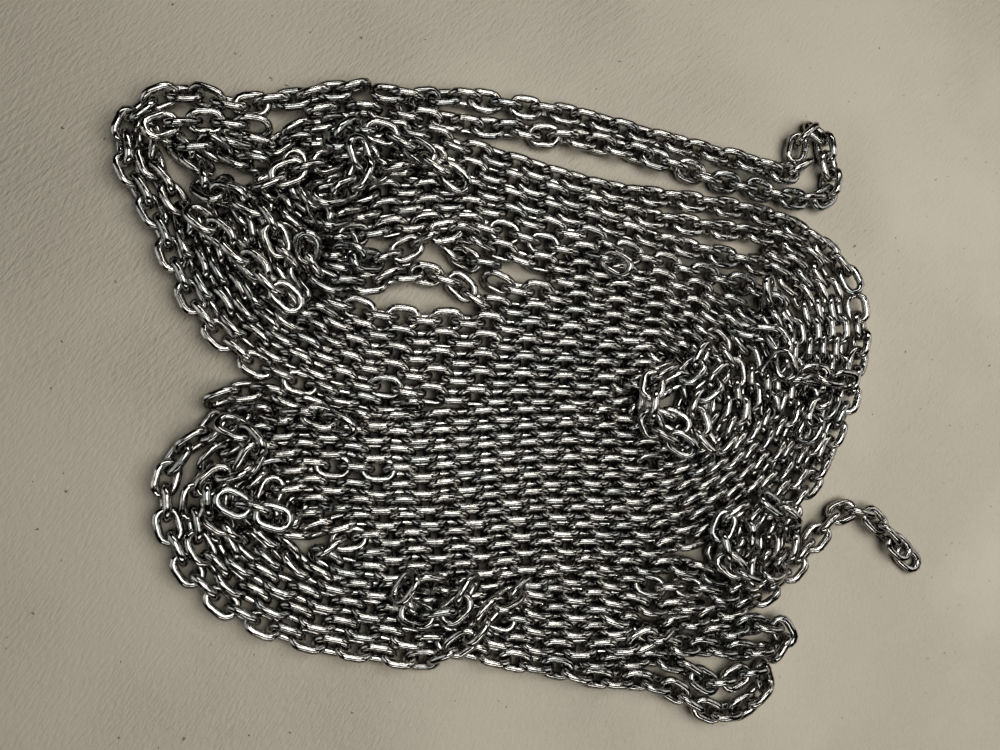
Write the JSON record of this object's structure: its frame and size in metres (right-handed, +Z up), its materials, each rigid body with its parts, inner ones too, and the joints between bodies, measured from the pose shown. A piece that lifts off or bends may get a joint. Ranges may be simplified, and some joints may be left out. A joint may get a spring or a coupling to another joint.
{
  "type": "anchor chain heap",
  "caption": "Heap of short-link stainless anchor chain, flaked to and fro on the floor, with one free end drawn out.",
  "frame": {"origin": "middle of the heap's outline, on the floor it lies on", "axes": "+X along the rows of the heap, towards the free end, +Y across them, away from the free end's side, +Z up from the floor"},
  "size_m": [0.9194, 0.7014, 0.06],
  "materials": {
    "chain_steel": "polished stainless, with marks of handling"
  },
  "bodies": {
    "root": {"centre_b_01": "chain_steel", "centre_c_01": "chain_steel", "centre_turn_01": "chain_steel", "corner_b_01": "chain_steel", "corner_c_01": "chain_steel", "corner_turn_01": "chain_steel", "crossing_turn_01": "chain_steel", "end_link": "chain_steel", "fan_row_01": "chain_steel", "inner_loop_01": "chain_steel", "left_turn_01": "chain_steel", "loop_top_01": "chain_steel", "lower_bight_01": "chain_steel", "lower_cross_01": "chain_steel", "lower_row_01": "chain_steel", "outer_turn_01": "chain_steel", "outer_turn_02": "chain_steel", "outer_turn_03": "chain_steel", "right_turn_01": "chain_steel", "row_a_01": "chain_steel", "row_a_02": "chain_steel", "row_a_03": "chain_steel", "row_a_04": "chain_steel", "row_b_01": "chain_steel", "row_b_02": "chain_steel", "row_b_03": "chain_steel", "row_b_04": "chain_steel", "row_c_01": "chain_steel", "row_c_02": "chain_steel", "row_c_03": "chain_steel", "row_e_01": "chain_steel", "row_e_02": "chain_steel", "row_e_03": "chain_steel", "row_f_01": "chain_steel", "row_f_02": "chain_steel", "row_g_01": "chain_steel", "row_g_02": "chain_steel", "row_h_01": "chain_steel", "row_h_02": "chain_steel", "row_i_01": "chain_steel", "row_i_02": "chain_steel", "row_j_01": "chain_steel", "row_j_02": "chain_steel", "row_j_03": "chain_steel", "row_j_04": "chain_steel", "row_k_01": "chain_steel", "row_k_02": "chain_steel", "row_k_03": "chain_steel", "row_m_01": "chain_steel", "row_m_02": "chain_steel", "side_row_01": "chain_steel", "side_turn_01": "chain_steel", "tangle_a_01": "chain_steel", "tangle_b_01": "chain_steel", "tangle_c_01": "chain_steel", "tangle_d_01": "chain_steel", "tangle_e_01": "chain_steel", "tangle_f_01": "chain_steel", "tangle_g_01": "chain_steel", "tangle_h_01": "chain_steel"}
  },
  "joints": []
}
